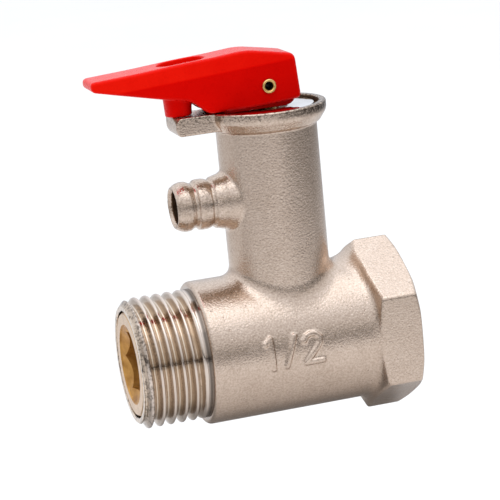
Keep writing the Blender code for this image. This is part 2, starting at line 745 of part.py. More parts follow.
def main():
    clear_scene()
    build_valve_body()
    build_inlet_bush()
    build_bush_gasket()
    build_check_guide()
    build_check_spring()
    build_relief_spring()
    build_spring_washer()
    build_stem_o_ring()
    build_spring_gland()
    build_cover_disc()

    check_point = (BUSH_SEAT_X, 0, 0)
    check_axis = joint_empty("check_axis", check_point)
    hang_on(check_axis, check_point, [build_check_washer(), build_check_seal(), build_check_poppet()])

    stem_point = (TOWER_X, 0, 0)
    stem_axis = joint_empty("stem_axis", stem_point)
    hang_on(stem_axis, stem_point, [build_seal_screw(), build_relief_seal(), build_seal_holder(),
                                    build_lift_stem()])

    pivot_point = (TOWER_X, 0, PIVOT_Z)
    pivot_axis = joint_empty("pivot_axis", pivot_point, parent=stem_axis)
    hang_on(pivot_axis, pivot_point, [build_lever(), build_pivot_pin()])


main()
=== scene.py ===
"""Looks of a G 1/2 pressure relief valve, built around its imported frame."""

import math

import bmesh
import bpy
import numpy as np
import openvdb
from mathutils import Matrix, Vector


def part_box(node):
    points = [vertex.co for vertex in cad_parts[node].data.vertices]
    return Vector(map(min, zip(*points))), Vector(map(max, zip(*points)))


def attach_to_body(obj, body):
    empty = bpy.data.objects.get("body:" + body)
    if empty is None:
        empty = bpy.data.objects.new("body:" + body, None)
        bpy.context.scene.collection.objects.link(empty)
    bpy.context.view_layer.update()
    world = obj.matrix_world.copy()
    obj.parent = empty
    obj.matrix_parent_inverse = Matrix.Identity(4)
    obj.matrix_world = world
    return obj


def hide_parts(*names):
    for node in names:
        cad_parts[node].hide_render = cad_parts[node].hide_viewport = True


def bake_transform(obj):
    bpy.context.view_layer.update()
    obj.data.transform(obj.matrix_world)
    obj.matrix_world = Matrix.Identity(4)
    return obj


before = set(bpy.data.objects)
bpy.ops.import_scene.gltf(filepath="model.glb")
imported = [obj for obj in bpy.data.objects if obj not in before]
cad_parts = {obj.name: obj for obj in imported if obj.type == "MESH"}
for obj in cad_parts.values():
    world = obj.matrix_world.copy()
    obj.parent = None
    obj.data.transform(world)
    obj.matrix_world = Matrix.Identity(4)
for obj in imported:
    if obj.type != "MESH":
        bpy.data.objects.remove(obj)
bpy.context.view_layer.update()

MM = 0.001


def centre_of(node):
    low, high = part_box(node)
    return (low + high) / 2


disc_low, disc_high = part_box("cover_disc")
body_low, body_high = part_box("valve_body")
pin_centre = centre_of("pivot_pin")

# Millimetre coordinates used below: u runs along the pipe from the tower's axis, y across, z up.
TOWER_X = (disc_low.x + disc_high.x) / 2
HEAT_END = (body_high.x - TOWER_X) / MM
SUPPLY_END = (body_low.x - TOWER_X) / MM
FLANGE_TOP = body_high.z / MM
PIVOT_Z = pin_centre.z / MM

COLLAR_U = -15.3
TUBE_R = 11.56
HEX_FLATS = 24.8
TOWER_R = 8.05
FLANGE_R = 9.75
FLANGE_BOTTOM = 35.2
FLANGE_KNEE = 37.0
BARB_Z = 24.0
BARB_ROOT_U = -7.6
DISC_TOP = disc_high.z / MM
LUG_END = -15.3
LEG_U = -13.95
LEG_BOTTOM = 38.55
BUSH_BORE_R = 8.6
SOCKET_HALF = 4.7
EYE_R = 2.7
STEM_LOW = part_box("lift_stem")[0].z / MM
RELIEF_SPRING_Z = (18.5, 28.7)
CHECK_SPRING_U = (-34.9 - TOWER_X / MM, -28.0 - TOWER_X / MM)
THREAD_PITCH = 1.814
THREAD_MAJOR = 10.4775
THREAD_MINOR = 9.3155
THREAD_CREST = -25.165
SOCKET_DEPTH = 14.0

TOWER_RECESS_R = 8.65
WELL_R = 6.6
SEAT_HOLE_R = 3.0
BARB_BORE_R = 2.65
SUPPLY_BORE_R = 7.4
LUG_HALF = 3.3
LUG_HOLE_R = 0.85
MARK_HALF_WIDTH = 0.31
MARK_HEIGHT = 0.33
LEVER_HALF = 3.8
LEVER_DRAFT = 0.21
FORK_SLOT_HALF = 2.25
LEG_R = 2.1
SOLE_HALF = 3.3
PIN_HOLE_R = 1.0
STEM_R = 1.9
EYE_HALF = 1.88
COLLAR_R = 10.42
DISC_R = 7.9
DISC_HOLE_R = 2.25

BODY_CELL = 0.21
LEVER_CELL = 0.16
STEM_CELL = 0.14
NORMAL_REACH = 0.06


# ---------------------------------------------------------------- distance fields
def soft_union(a, b, k):
    h = np.clip(0.5 + 0.5 * (b - a) / k, 0.0, 1.0)
    return b * (1 - h) + a * h - k * h * (1 - h)


def soft_cut(a, b, k):
    """a with b taken away."""
    return -soft_union(-a, b, k)


def soft_common(a, b, k):
    return -soft_union(-a, -b, k)


def slab(t, low, high):
    return np.abs(t - (low + high) / 2) - (high - low) / 2


def rounded(a, b, edge):
    """Where two fields overlap, with their shared edge rounded."""
    a = a + edge
    b = b + edge
    return np.minimum(np.maximum(a, b), 0) + np.hypot(np.maximum(a, 0), np.maximum(b, 0)) - edge


def drum(radial, along, radius, low, high, edge):
    return rounded(radial - radius, slab(along, low, high), edge)


def polygon(px, pz, points):
    """Signed distance to a closed outline, negative inside."""
    best = np.full(px.shape, 1e9)
    sign = np.ones(px.shape)
    count = len(points)
    for i in range(count):
        ax, az = points[i]
        bx, bz = points[i - 1]
        ex, ez = bx - ax, bz - az
        wx, wz = px - ax, pz - az
        t = np.clip((wx * ex + wz * ez) / (ex * ex + ez * ez), 0, 1)
        dx, dz = wx - ex * t, wz - ez * t
        best = np.minimum(best, dx * dx + dz * dz)
        above = pz >= az
        below = pz < bz
        left = ex * wz > ez * wx
        flip = (above & below & left) | (~above & ~below & ~left)
        sign = np.where(flip, -sign, sign)
    return sign * np.sqrt(best)


def segment(px, py, a, b):
    ex, ey = b[0] - a[0], b[1] - a[1]
    wx, wy = px - a[0], py - a[1]
    t = np.clip((wx * ex + wy * ey) / (ex * ex + ey * ey), 0, 1)
    return np.hypot(wx - ex * t, wy - ey * t)


def table(x, points):
    """Straight lines between (x, value) pairs."""
    xs = np.array([p[0] for p in points])
    ys = np.array([p[1] for p in points])
    return np.interp(x, xs, ys)


def slope_of(field, points, reach=0.02):
    p = points.T
    return np.stack([
        field(p[0] + reach, p[1], p[2]) - field(p[0] - reach, p[1], p[2]),
        field(p[0], p[1] + reach, p[2]) - field(p[0], p[1] - reach, p[2]),
        field(p[0], p[1], p[2] + reach) - field(p[0], p[1], p[2] - reach)], 1) / (2 * reach)


def mesh_from_field(name, field, low, high, cell, steps=4):
    """A quad mesh of the field's zero surface, with its points and normals those of the exact surface."""
    counts = [int(math.ceil((h - l) / cell)) + 1 for l, h in zip(low, high)]
    axes = [l + cell * np.arange(n) for l, n in zip(low, counts)]
    values = np.empty(counts, np.float32)
    for start in range(0, counts[0], 16):
        gx, gy, gz = np.meshgrid(axes[0][start:start + 16], axes[1], axes[2], indexing="ij")
        values[start:start + 16] = field(gx, gy, gz)
    values = np.clip(values, -3 * cell, 3 * cell)
    grid = openvdb.FloatGrid(3 * cell)
    grid.copyFromArray(values)
    points, quads = grid.convertToQuads(0.0)
    points = np.asarray(points, float) * cell + np.array(low)
    for _ in range(steps):
        value = field(*points.T)
        slope = slope_of(field, points)
        size = np.maximum((slope ** 2).sum(1), 0.05)
        move = -(value / size)[:, None] * slope
        length = np.linalg.norm(move, axis=1)
        limit = 0.45 * cell
        move *= np.minimum(1.0, limit / np.maximum(length, 1e-9))[:, None]
        points = points + move
    mesh = bpy.data.meshes.new(name)
    world = points * MM
    world[:, 0] += TOWER_X
    mesh.from_pydata(world.tolist(), [], np.asarray(quads).tolist())
    mesh.update()
    for face in mesh.polygons:
        face.use_smooth = True
    outward = slope_of(field, points, NORMAL_REACH)
    outward /= np.maximum(np.linalg.norm(outward, axis=1), 1e-9)[:, None]
    mesh.normals_split_custom_set_from_vertices(outward.tolist())
    obj = bpy.data.objects.new(name, mesh)
    bpy.context.scene.collection.objects.link(obj)
    return obj


# ---------------------------------------------------------------- turned pieces
def turned(name, axis, profile, centre, segments=128, ring=False, sharp=30):
    """A lathe shape from (along, radius) pairs in millimetres, about a line through centre."""
    bm = bmesh.new()
    rows = []
    for along, radius in profile:
        row = []
        for i in range(segments):
            angle = math.tau * i / segments
            a, b = radius * math.cos(angle), radius * math.sin(angle)
            if axis == "X":
                point = (along, a, b)
            elif axis == "Y":
                point = (b, along, a)
            else:
                point = (a, b, along)
            row.append(bm.verts.new((Vector(point) + Vector(centre)) * MM + Vector((TOWER_X, 0, 0))))
        rows.append(row)
    pairs = list(zip(rows, rows[1:]))
    if ring:
        pairs.append((rows[-1], rows[0]))
    for first, second in pairs:
        for i in range(segments):
            j = (i + 1) % segments
            bm.faces.new((first[i], first[j], second[j], second[i]))
    if not ring:
        bm.faces.new(rows[0])
        bm.faces.new(rows[-1])
    return object_from(name, bm, sharp)


def object_from(name, bm, sharp):
    bmesh.ops.recalc_face_normals(bm, faces=bm.faces)
    mesh = bpy.data.meshes.new(name)
    bm.to_mesh(mesh)
    bm.free()
    for face in mesh.polygons:
        face.use_smooth = True
    mesh.set_sharp_from_angle(angle=math.radians(sharp))
    obj = bpy.data.objects.new(name, mesh)
    bpy.context.scene.collection.objects.link(obj)
    return obj


def softened(outline, radius, steps=4):
    """An outline with each corner cut back by an arc of about that radius."""
    points = []
    count = len(outline)
    for i in range(count):
        corner = Vector(outline[i])
        before = Vector(outline[i - 1]) - corner
        after = Vector(outline[(i + 1) % count]) - corner
        reach = min(radius, before.length * 0.45, after.length * 0.45)
        a = corner + before.normalized() * reach
        b = corner + after.normalized() * reach
        for k in range(steps + 1):
            t = k / steps
            point = a * (1 - t) ** 2 + corner * 2 * t * (1 - t) + b * t ** 2
            points.append(tuple(point))
    return points


# ---------------------------------------------------------------- valve body
def size_mark(u, s):
    """Distance to the strokes of the cast pipe size, 1/2, in the plane of the pipe's side."""
    one = np.minimum(segment(u, s, (-5.8, 3.5), (-5.7, -1.35)), segment(u, s, (-6.6, 2.75), (-5.8, 3.5)))
    slash = segment(u, s, (-3.55, -1.25), (-1.9, 3.35))
    loop = segment(u, s, (-0.4, 2.35), (0.05, 3.0))
    knots = [(0.05, 3.0), (0.75, 3.3), (1.6, 3.2), (2.2, 2.6), (2.15, 1.8), (1.7, 1.1), (-0.4, -1.2)]
    for a, b in zip(knots, knots[1:]):
        loop = np.minimum(loop, segment(u, s, a, b))
    loop = np.minimum(loop, segment(u, s, (-0.4, -1.2), (2.45, -1.2)))
    return np.minimum(np.minimum(one, slash), loop)


BARB_PROFILE = [
    (-16.9, 3.0), (-16.5, 3.25), (-16.1, 3.55), (-15.5, 3.85), (-14.9, 3.98), (-14.2, 3.93), (-13.7, 3.7),
    (-13.35, 3.5), (-13.05, 3.6), (-12.75, 3.95), (-12.3, 4.05), (-11.4, 4.02), (-10.9, 3.9), (-10.6, 3.72),
    (-10.35, 3.75), (-10.05, 4.05), (-9.5, 4.2), (-8.7, 4.4), (-8.1, 4.7), (-7.3, 5.0), (-5.0, 5.1)]


def nick_field(u, y, z):
    """The broken corner of the lug, where the brass shows."""
    return ((LUG_END - u) / 0.8 + (-LUG_HALF - y) / 2.2 + (z - FLANGE_TOP) / 0.8 + 1.0) * -0.55


def body_field(u, y, z):
    pipe = np.hypot(y, z)
    tower_r = np.hypot(u, y)
    tube = drum(pipe, u, TUBE_R, COLLAR_U, 14.0, 0.75)
    # hexagon with the steep step behind it and its face chamfer
    flats = soft_common(np.abs(y), np.abs(y) * 0.5 + np.abs(z) * 0.8660254, 0.4) - HEX_FLATS / 2
    step = (12.2 + (pipe - HEX_FLATS / 2) * 0.32 - u) / 1.05
    chamfer = (pipe - 12.7 - (HEAT_END - u) * 2.35) / 2.55
    web = soft_common((pipe - 1.15 - u) / 1.414, np.abs(y) - 5.2, 4.0)
    web = np.where(z > 0, web, 9.0)
    front = soft_union(step, web, 1.0)
    nut = soft_common(soft_common(flats, front, 0.5), chamfer, 0.3)
    nut = soft_common(soft_common(nut, u - HEAT_END, 0.15), 5.0 - u, 0.2)
    body = soft_union(tube, nut, 1.2)
    # tower with its flange
    column = drum(tower_r, z, TOWER_R, 0.0, FLANGE_BOTTOM + 1.0, 0.2)
    body = soft_union(body, column, 1.9)
    flange = drum(tower_r, z, FLANGE_R, FLANGE_BOTTOM, FLANGE_TOP, 0.3)
    under = (tower_r - FLANGE_R - (z - FLANGE_KNEE) * 0.7) / 1.22
    flange = soft_common(flange, under, 0.35)
    body = soft_union(body, flange, 0.35)
    # lug
    low = FLANGE_BOTTOM + 0.4
    across = soft_common(slab(y, -LUG_HALF, LUG_HALF), slab(z, low, FLANGE_TOP), 0.25)
    end = soft_common(LUG_END - u, (LUG_END + low + 0.55 - u - z) / 1.414, 0.6)
    ear = soft_common(soft_common(across, end, 0.2), u + 5.0, 0.2)
    body = soft_union(body, ear, 0.25)
    # hose barb
    barb_r = np.hypot(y, z - BARB_Z)
    barb = np.maximum((barb_r - table(u, BARB_PROFILE)) * 0.9, slab(u, -16.5, -4.0))
    body = soft_union(body, barb, 0.35)
    # raised size mark on the side of the pipe
    around = np.arctan2(z, -y) * TUBE_R
    mark = rounded(size_mark(u, around) - MARK_HALF_WIDTH, pipe - TUBE_R - MARK_HEIGHT, 0.2)
    mark = np.where(y < 0, mark, 5.0)
    body = soft_union(body, mark, 0.5)
    # bores
    bore = drum(pipe, u, SUPPLY_BORE_R, -40.0, -6.0, 0.05)
    bore = np.minimum(bore, drum(pipe, u, 6.4, -7.0, 8.0, 0.05))
    bore = np.minimum(bore, drum(pipe, u, THREAD_MAJOR + 0.12, HEAT_END - SOCKET_DEPTH, 30.0, 0.05))
    body = soft_cut(body, bore, 0.15)
    body = soft_cut(body, (pipe - THREAD_MAJOR - 0.45 - (u - HEAT_END)) / 1.414, 0.12)
    body = soft_cut(body, drum(tower_r, z, SEAT_HOLE_R, 0.0, 14.0, 0.05), 0.12)
    well = drum(tower_r, z, WELL_R, 12.0, 50.0, 0.1)
    lip = drum(tower_r, z, 3.9, 10.0, 12.8, 0.1)
    body = soft_cut(body, np.maximum(well, -lip), 0.15)
    body = soft_cut(body, drum(tower_r, z, TOWER_RECESS_R, 37.4, 50.0, 0.05), 0.2)
    mouth = BARB_BORE_R + 0.45 * np.clip((-15.9 - u) / 0.6, 0, 1)
    body = soft_cut(body, np.maximum(barb_r - mouth, slab(u, -30.0, -5.5)), 0.2)
    # screw hole and broken corner of the lug
    body = soft_cut(body, np.maximum(np.hypot(u - LEG_U, y) - LUG_HOLE_R, slab(z, 30.0, 50.0)), 0.15)
    return soft_cut(body, nick_field(u, y, z), 0.08)


def build_body():
    low = (-17.6, -13.3, -15.2)
    high = (HEAT_END + 0.7, 13.3, FLANGE_TOP + 0.7)
    return mesh_from_field("valve_body_shell", body_field, low, high, BODY_CELL)


def thread_share(phase):
    """Height across one pitch, 0 at the root and 1 at the crest, with a small radius at each."""
    wave = 1.0 - abs(((phase % 1.0) - 0.5) * 2.0)
    rise = (wave - 0.5) / 0.70
    soft = 0.10
    for sign in (1, -1):
        over = sign * rise - (0.5 - soft)
        if over > 0:
            rise = sign * (0.5 - soft + soft * (1 - math.exp(-over / soft)))
    return min(1.0, max(0.0, rise + 0.5))


def ring_mesh(name, rows, sharp=180):
    """Closes rows of points, each a loop round the pipe, into one ring."""
    bm = bmesh.new()
    made = []
    for row in rows:
        made.append([bm.verts.new((TOWER_X + u * MM, y * MM, z * MM)) for u, y, z in row])
    count = len(made[0])
    for first, second in zip(made, made[1:] + made[:1]):
        for i in range(count):
            j = (i + 1) % count
            bm.faces.new((first[i], first[j], second[j], second[i]))
    return object_from(name, bm, sharp)


def loop_at(u, radius_at, segments):
    row = []
    for i in range(segments):
        angle = math.tau * i / segments
        radius = radius_at(angle)
        row.append((u, radius * math.cos(angle), radius * math.sin(angle)))
    return row


def build_supply_thread():
    segments = 200
    per_turn = 28
    runout = -16.0
    rows = []
    step = THREAD_PITCH / per_turn
    u = SUPPLY_END
    while u < COLLAR_U + 0.25:
        def radius_at(angle, u=u):
            phase = (u - THREAD_CREST) / THREAD_PITCH - angle / math.tau
            r = THREAD_MINOR + (THREAD_MAJOR - THREAD_MINOR) * thread_share(phase)
            r = min(r, 9.37 + (u - SUPPLY_END) * 1.1)
            fade = min(1.0, max(0.0, (u - runout + THREAD_PITCH * 0.7) / (THREAD_PITCH * 0.7)))
            collar = COLLAR_R
            return r + (max(r, collar) - r) * fade if u < runout else collar
        rows.append(loop_at(u, radius_at, segments))
        u += step
    end = COLLAR_U + 0.25
    rows.append(loop_at(end, lambda a: COLLAR_R, segments))
    rows.append(loop_at(end, lambda a: 7.5, segments))
    rows.append(loop_at(-18.95, lambda a: 7.5, segments))
    rows.append(loop_at(-18.95, lambda a: BUSH_BORE_R, segments))
    rows.append(loop_at(SUPPLY_END + 0.12, lambda a: BUSH_BORE_R, segments))
    rows.append(loop_at(SUPPLY_END, lambda a: BUSH_BORE_R + 0.12, segments))
    return ring_mesh("supply_thread", rows, 40)


def build_socket_thread():
    segments = 144
    per_turn = 12
    rows = []
    step = THREAD_PITCH / per_turn
    start = HEAT_END - SOCKET_DEPTH + 0.05
    outer = THREAD_MAJOR + 0.2
    u = start
    while u < HEAT_END - 0.15:
        def radius_at(angle, u=u):
            phase = (u - HEAT_END) / THREAD_PITCH - angle / math.tau
            r = THREAD_MINOR + (THREAD_MAJOR - THREAD_MINOR) * thread_share(phase)
            relief = min(1.0, max(0.0, (start + 1.6 - u) / 0.7))
            r = r + (THREAD_MAJOR - r) * relief
            return min(outer - 0.02, max(r, THREAD_MAJOR + 0.35 + (u - HEAT_END)))
        rows.append(loop_at(u, radius_at, segments))
        u += step
    rows.append(loop_at(u, lambda a: outer, segments))
    rows.append(loop_at(start, lambda a: outer, segments))
    return ring_mesh("socket_thread", rows, 60)


# ---------------------------------------------------------------- lever
RIDGE_Z = 45.35
RIDGE_SLOPE = 0.0617
LEVER_SIDE = [
    (5.2, 39.2), (-2.3, 38.72), (-9.85, 38.62), (-12.6, 41.0), (-16.6, 41.75), (-27.9, 44.35), (-27.9, 45.85),
    (-20.0, 46.35), (-13.7, 46.9), (-8.0, 47.25), (-4.0, 47.62), (-2.4, 47.6), (1.0, 47.0), (4.7, 46.3)]


LEVER_OUTLINE = softened(LEVER_SIDE, 0.9)
# the cam sole along the fork's open edge, with its nose towards the heater
SOLE = [(-9.2, 38.72), (-7.8, 38.6), (-7.4, 38.24), (2.6, 38.24), (3.5, 38.5), (4.0, 38.9),
        (4.2, 39.5), (-2.0, 40.0), (-9.2, 40.0)]
FORK_ROOF = [(8.0, 30.0), (8.0, 44.9), (0.0, 44.95), (-11.4, 43.6), (-11.8, 42.0), (-11.9, 30.0)]


def lever_field(u, y, z):
    side = polygon(u, z, LEVER_OUTLINE)
    ridge = RIDGE_Z + (u - 5.0) * RIDGE_SLOPE
    half = LEVER_HALF - np.where(z > ridge, LEVER_DRAFT, 0.0) * np.abs(z - ridge)
    lever = rounded(side, np.abs(y) - half, 0.55)
    lever = soft_union(lever, rounded(polygon(u, z, SOLE), np.abs(y) - SOLE_HALF, 0.2), 0.15)
    leg_r = np.hypot(u - LEG_U, y)
    leg = soft_common(leg_r - (LEG_R + 0.05 * (z - LEG_BOTTOM)), slab(z, LEG_BOTTOM, 43.0), 0.2)
    lever = soft_union(lever, leg, 0.45)
    roof = polygon(u, z, FORK_ROOF)
    slot = np.maximum(roof, np.abs(y) - FORK_SLOT_HALF)
    slot = np.maximum(slot, -(leg_r - 2.35 - 0.05))
    lever = soft_cut(lever, slot, 0.25)
    pit_u = np.clip(u, -14.4, -11.3)
    pit = np.maximum(np.hypot(u - pit_u, y) - 2.2, slab(z, 44.9, 60.0))
    lever = soft_cut(lever, pit, 0.35)
    lever = soft_cut(lever, np.maximum(leg_r - 1.25, slab(z, 30.0, 60.0)), 0.15)
    hole = np.maximum(np.hypot(u, z - PIVOT_Z) - PIN_HOLE_R, slab(y, -9.0, 9.0))
    return soft_cut(lever, hole, 0.15)


def build_lever():
    low, high = (-28.6, -4.5, 37.6), (5.9, 4.5, 48.3)
    return mesh_from_field("lever_moulding", lever_field, low, high, LEVER_CELL)


# ---------------------------------------------------------------- brass bush
def build_bush():
    """Polar mesh: the coned mouth meets the hexagon's walls in curved cusps."""
    segments = 288
    face = SUPPLY_END + 0.05
    inner = -20.35
    seat = -19.65
    mouth = 6.45
    corner = SOCKET_HALF / math.cos(math.radians(30))

    def hexagon(angle):
        return SOCKET_HALF / math.cos(angle % math.radians(60) - math.radians(30))

    def cone_end(angle):
        return face + 0.6 + (corner - hexagon(angle)) * 0.9

    rows = []

    def add(u_at, r_at):
        row = []
        for i in range(segments):
            angle = math.tau * i / segments
            u = u_at(angle)
            r = r_at(angle)
            row.append((u, r * math.cos(angle), r * math.sin(angle)))
        rows.append(row)

    add(lambda a: face + 0.12, lambda a: mouth - 0.1)
    add(lambda a: face, lambda a: mouth)
    add(lambda a: face, lambda a: 8.1)
    add(lambda a: face + 0.25, lambda a: 8.35)
    add(lambda a: inner, lambda a: 8.35)
    add(lambda a: inner, lambda a: 5.6)
    add(lambda a: seat, lambda a: 5.3)
    add(lambda a: seat, lambda a: 4.5)
    add(lambda a: inner - 1.6, lambda a: 4.45)
    for k in range(6):
        add(lambda a, k=k: inner - 1.6 + (cone_end(a) - inner + 1.6) * k / 5, hexagon)
    for k in range(1, 5):
        add(lambda a, k=k: cone_end(a) + (face + 0.25 - cone_end(a)) * k / 4,
            lambda a, k=k: hexagon(a) + (6.3 - hexagon(a)) * k / 4)
    return ring_mesh("inlet_bush_turned", rows, 25)


# ---------------------------------------------------------------- small turned pieces
def build_pin():
    face = 3.82
    profile = [(-face - 0.3, 0.78), (-face - 0.38, 0.88), (-face - 0.36, 1.0), (-face - 0.24, 1.12),
               (-face - 0.08, 1.16), (-face, 1.1), (-face, 0.85)]
    other = [(-along, radius) for along, radius in reversed(profile)]
    bore = [(face + 0.1, 0.6), (face - 0.3, 0.5), (-face + 0.3, 0.5), (-face - 0.1, 0.6)]
    return turned("pin_rivet", "Y", profile + other + bore, (0, 0, PIVOT_Z), 64, ring=True, sharp=60)


def build_disc():
    top, low = DISC_TOP, disc_low.z / MM
    profile = [(low, DISC_HOLE_R), (low, DISC_R), (top - 0.2, DISC_R), (top - 0.06, DISC_R - 0.06),
               (top, DISC_R - 0.2), (top, DISC_HOLE_R + 0.15), (top - 0.12, DISC_HOLE_R)]
    return turned("cover_plate", "Z", profile, (0, 0, 0), 160, ring=True, sharp=40)


def build_coil(name, axis, coil_radius, wire_radius, low, high, turns, sides=14, steps=56):
    """A compression spring about the tower's axis (Z) or the pipe's (X), from low to high along it."""
    bm = bmesh.new()
    rows = []
    count = turns * steps
    for i in range(count + 1):
        share = i / count
        along = low + (high - low) * (share - math.sin(math.tau * share) / (2.6 * math.pi))
        angle = math.tau * turns * share
        row = []
        for k in range(sides):
            side = math.tau * k / sides
            radius = coil_radius + wire_radius * math.cos(side)
            a, b, c = radius * math.cos(angle), radius * math.sin(angle), along + wire_radius * math.sin(side)
            point = (c, a, b) if axis == "X" else (a, b, c)
            row.append(bm.verts.new(Vector(point) * MM + Vector((TOWER_X, 0, 0))))
        rows.append(row)
    for first, second in zip(rows, rows[1:]):
        for i in range(sides):
            j = (i + 1) % sides
            bm.faces.new((first[i], first[j], second[j], second[i]))
    bm.faces.new(rows[0])
    bm.faces.new(rows[-1])
    return object_from(name, bm, 50)


def stem_field(u, y, z):
    rod = drum(np.hypot(u, y), z, STEM_R, STEM_LOW, PIVOT_Z, 0.05)
    eye = drum(np.hypot(u, z - PIVOT_Z), y, EYE_R, -EYE_HALF, EYE_HALF, 0.22)
    stem = soft_union(rod, eye, 0.5)
    return soft_cut(stem, np.maximum(np.hypot(u, z - PIVOT_Z) - PIN_HOLE_R, slab(y, -5.0, 5.0)), 0.12)


def build_stem():
    reach = EYE_R + 0.5
    low, high = (-reach, -2.4, STEM_LOW - 0.5), (reach, 2.4, PIVOT_Z + reach)
    return mesh_from_field("stem_eye", stem_field, low, high, STEM_CELL)


print("geometry")
body = build_body()
stem = build_stem()
relief_spring = build_coil("relief_coil", "Z", 4.6, 0.6, *RELIEF_SPRING_Z, 5)
check_spring = build_coil("check_coil", "X", 4.3, 0.4, *CHECK_SPRING_U, 4)
supply_thread = build_supply_thread()
socket_thread = build_socket_thread()
lever = build_lever()
bush = build_bush()
pin = build_pin()
disc = build_disc()
for made in (body, supply_thread, socket_thread, lever, bush, pin, disc, stem, relief_spring, check_spring):
    print(made.name, len(made.data.polygons))


# ---------------------------------------------------------------- materials
class Shade:
    """Builds one procedural material; coordinates are the row frame in millimetres."""

    def __init__(self, name, metallic, roughness, color, **sockets):
        self.mat = bpy.data.materials.new(name)
        self.mat.use_nodes = True
        self.tree = self.mat.node_tree
        self.shader = self.tree.nodes["Principled BSDF"]
        self.set("Base Color", (*color, 1))
        self.set("Metallic", metallic)
        self.set("Roughness", roughness)
        for socket, value in sockets.items():
            self.set(socket.replace("_", " "), value)
        coords = self.tree.nodes.new("ShaderNodeTexCoord").outputs["Object"]
        self.mm = self.vector("SCALE", coords, scale=1000.0)
        self.normal = None

    def set(self, socket, value):
        self.shader.inputs[socket].default_value = value

    def link(self, a, b):
        self.tree.links.new(a, b)

    def vector(self, operation, a, b=None, scale=None):
        node = self.tree.nodes.new("ShaderNodeVectorMath")
        node.operation = operation
        self.link(a, node.inputs[0])
        if b is not None:
            node.inputs[1].default_value = b
        if scale is not None:
            node.inputs["Scale"].default_value = scale
        return node.outputs["Value" if operation == "LENGTH" else "Vector"]

    def math(self, operation, a, b=0.0, clamp=False):
        node = self.tree.nodes.new("ShaderNodeMath")
        node.operation = operation
        node.use_clamp = clamp
        for socket, value in zip(node.inputs, (a, b)):
            if isinstance(value, (int, float)):
                socket.default_value = value
            else:
                self.link(value, socket)
        return node.outputs[0]

    def times(self, first, *others):
        for other in others:
            first = self.math("MULTIPLY", first, other)
        return first

    def past(self, value, start, per_mm):
        """0 up to start, then rising to 1."""
        return self.math("MULTIPLY", self.math("SUBTRACT", value, start), per_mm, clamp=True)

    def short_of(self, value, end, per_mm):
        """0 from end on, and 1 well below it."""
        return self.math("MULTIPLY", self.math("SUBTRACT", end, value), per_mm, clamp=True)

    def from_tower(self):
        """The u coordinate."""
        return self.math("SUBTRACT", self.along(0), TOWER_X / MM)

    def noise(self, scale, detail=2.0, roughness=0.5, vector=None):
        node = self.tree.nodes.new("ShaderNodeTexNoise")
        node.inputs["Scale"].default_value = scale
        node.inputs["Detail"].default_value = detail
        node.inputs["Roughness"].default_value = roughness
        self.link(vector or self.mm, node.inputs["Vector"])
        return node.outputs["Fac"]

    def cells(self, scale, vector=None):
        node = self.tree.nodes.new("ShaderNodeTexVoronoi")
        node.inputs["Scale"].default_value = scale
        self.link(vector or self.mm, node.inputs["Vector"])
        return node.outputs["Distance"]

    def ramp(self, value, *stops):
        node = self.tree.nodes.new("ShaderNodeValToRGB")
        while len(node.color_ramp.elements) < len(stops):
            node.color_ramp.elements.new(0.5)
        for element, (at, color) in zip(node.color_ramp.elements, stops):
            element.position = at
            if isinstance(color, (int, float)):
                color = (color,) * 3
            element.color = (*color, 1)
        self.link(value, node.inputs["Fac"])
        return node.outputs["Color"]

    def mix(self, factor, a, b, mode="MIX"):
        node = self.tree.nodes.new("ShaderNodeMix")
        node.data_type = "RGBA"
        node.blend_type = mode
        for socket, value in zip((node.inputs[0], node.inputs[6], node.inputs[7]), (factor, a, b)):
            if isinstance(value, (int, float)):
                socket.default_value = value
            elif isinstance(value, tuple):
                socket.default_value = (*value, 1)
            else:
                self.link(value, socket)
        return node.outputs[2]

    def bump(self, height, depth, strength=1.0):
        """Adds relief of about that depth in millimetres."""
        node = self.tree.nodes.new("ShaderNodeBump")
        node.inputs["Strength"].default_value = strength
        node.inputs["Distance"].default_value = depth * MM
        self.link(height, node.inputs["Height"])
        if self.normal is not None:
            self.link(self.normal, node.inputs["Normal"])
        self.normal = node.outputs["Normal"]

    def color(self, output):
        self.link(output, self.shader.inputs["Base Color"])

    def rough(self, output):
        self.link(output, self.shader.inputs["Roughness"])

    def radius(self, axis, centre=(0, 0, 0)):
        """Distance in millimetres from a line along axis through centre, both in the u, y, z frame."""
        keep = {"X": (0, 1, 1), "Y": (1, 0, 1), "Z": (1, 1, 0)}[axis]
        moved = self.vector("SUBTRACT", self.mm, (TOWER_X / MM + centre[0], centre[1], centre[2]))
        return self.vector("LENGTH", self.vector("MULTIPLY", moved, keep))

    def along(self, axis):
        node = self.tree.nodes.new("ShaderNodeSeparateXYZ")
        self.link(self.mm, node.inputs[0])
        return node.outputs[axis]

    def rings(self, value, per_mm):
        """A height that changes only with value: tool marks."""
        node = self.tree.nodes.new("ShaderNodeTexNoise")
        node.noise_dimensions = "1D"
        node.inputs["Scale"].default_value = per_mm
        node.inputs["Detail"].default_value = 2.0
        self.link(value, node.inputs["W"])
        return node.outputs["Fac"]

    def done(self):
        if self.normal is not None:
            self.link(self.normal, self.shader.inputs["Normal"])
        return self.mat


